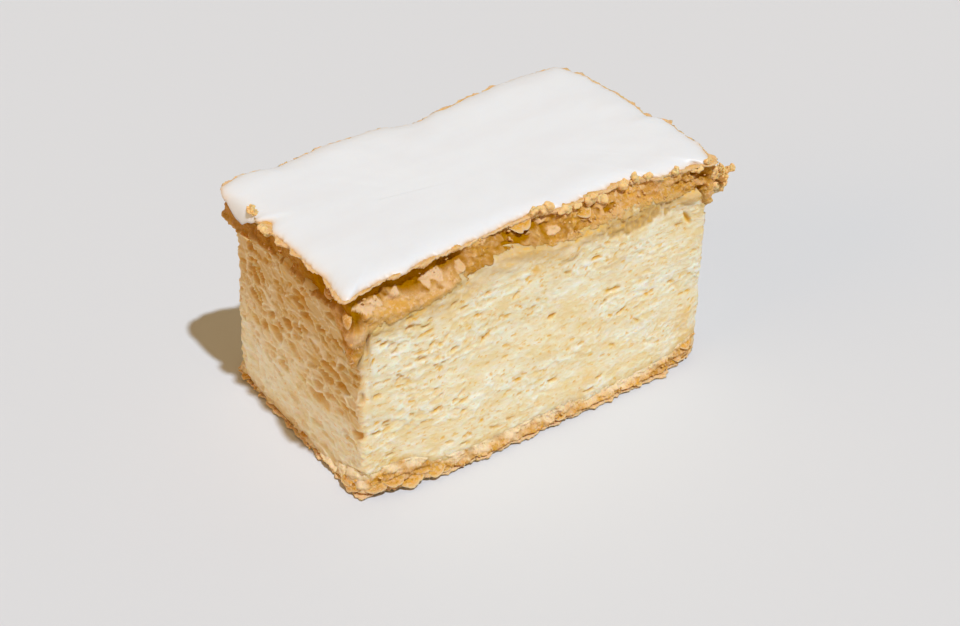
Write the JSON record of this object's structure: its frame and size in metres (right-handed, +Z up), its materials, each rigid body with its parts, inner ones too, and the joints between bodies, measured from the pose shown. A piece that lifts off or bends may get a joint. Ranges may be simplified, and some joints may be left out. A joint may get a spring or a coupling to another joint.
{
  "type": "mille feuille slice",
  "caption": "Rectangular slice of cream mille feuille: thin flaky base, tall block of whipped custard cream, flaky top crust under a sheet of white icing.",
  "frame": {"origin": "middle of the slice's footprint, on the surface it stands on", "axes": "+X along the long side, +Y from the cut front to the back, +Z up"},
  "size_m": [0.1165, 0.074, 0.0592],
  "materials": {
    "crust": "baked puff pastry, dry and flaky",
    "cream": "whipped custard cream, moist and airy",
    "icing": "set sugar icing, satin"
  },
  "bodies": {
    "root": {"base_crust": "crust", "custard_cream": "cream", "top_crust": "crust", "icing": "icing"}
  },
  "joints": []
}
